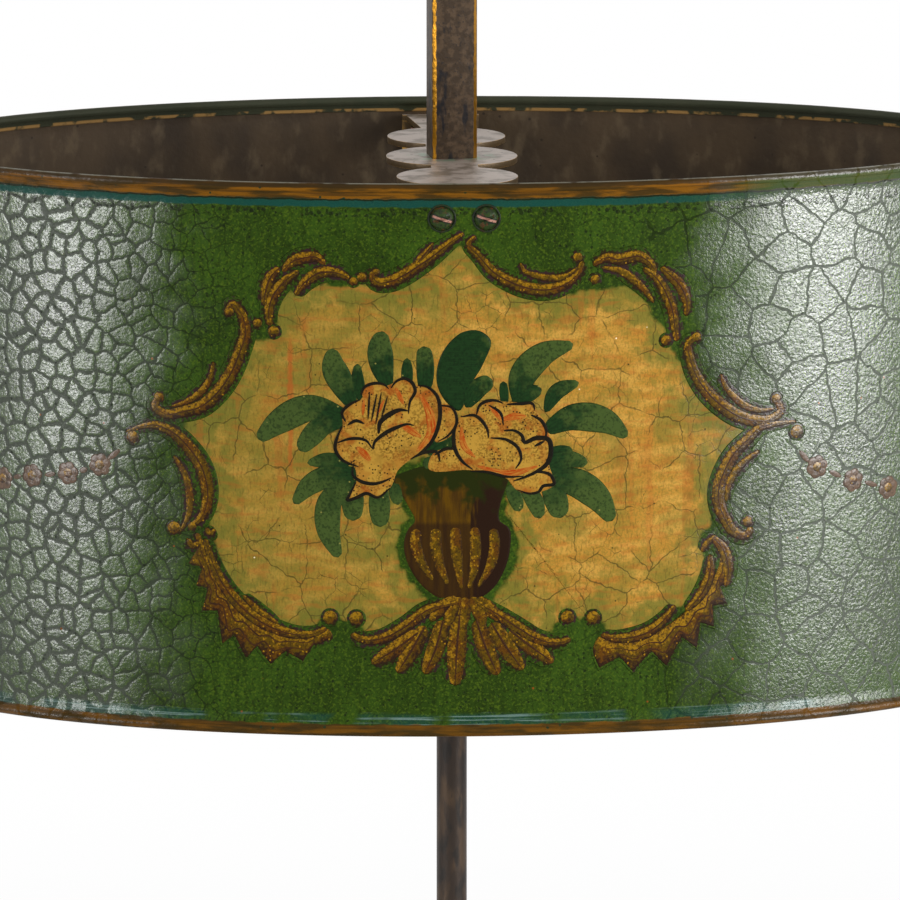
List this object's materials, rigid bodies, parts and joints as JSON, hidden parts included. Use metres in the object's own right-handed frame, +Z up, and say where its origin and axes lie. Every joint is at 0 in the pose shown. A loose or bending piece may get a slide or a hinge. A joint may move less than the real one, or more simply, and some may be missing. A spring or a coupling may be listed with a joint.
{
  "type": "bouillotte lamp",
  "caption": "Table candle stand with an oval green painted-tin shade that slides on its central rod, held by a thumb key, above two branching candle nozzles.",
  "frame": {"origin": "centre of the underside of the foot ring, on the table", "axes": "+Z up along the rod; X along the shade's long axis and the two candle arms; -Y is the front, with the painted panel"},
  "size_m": [0.38, 0.22, 0.758],
  "materials": {
    "green_japanning": "aged gloss paint",
    "worn_strap": "worn, greyed",
    "patinated_brass": "dark patina, polished arrises",
    "dark_rod": "dark patina",
    "lacquered_brass": "aged satin",
    "iron": "dull"
  },
  "bodies": {
    "stand": {"base_dish": "lacquered_brass", "base_washer": "iron", "base_nut": "iron", "column_plinth": "lacquered_brass", "column_baluster": "lacquered_brass", "column_collar": "lacquered_brass", "stem_rod": "dark_rod", "finial_collar": "lacquered_brass", "ring_handle": "lacquered_brass"},
    "candle_branch": {"arm_hub": "lacquered_brass", "left_arm": "lacquered_brass", "right_arm": "lacquered_brass", "left_drip_pan": "lacquered_brass", "right_drip_pan": "lacquered_brass", "left_candle_nozzle": "lacquered_brass", "right_candle_nozzle": "lacquered_brass"},
    "branch_key": {"arm_key": "lacquered_brass"},
    "shade": {"shade_wall": "green_japanning", "top_rim_wire": "iron", "bottom_rim_wire": "iron", "shade_strap": "worn_strap", "strap_screws": "worn_strap", "strap_nuts": "iron", "shade_slide": "patinated_brass"},
    "shade_key": {"shade_key": "lacquered_brass"}
  },
  "joints": [
    {"name": "shade_slide_on_rod", "type": "slide", "parent": "stand", "child": "shade", "axis": [0, 0, 1], "range_m": [-0.11, 0.038]},
    {"name": "shade_key_turn", "type": "hinge", "parent": "shade", "child": "shade_key", "pos_m": [0, 0, 0.6455], "axis": [0.9936, 0.1132, 0], "range_deg": [0, 360]},
    {"name": "branch_slide_on_rod", "type": "slide", "parent": "stand", "child": "candle_branch", "axis": [0, 0, 1], "range_m": [0, 0.06]},
    {"name": "branch_key_turn", "type": "hinge", "parent": "candle_branch", "child": "branch_key", "pos_m": [0, 0, 0.1765], "axis": [0, -1, 0], "range_deg": [0, 360]}
  ]
}
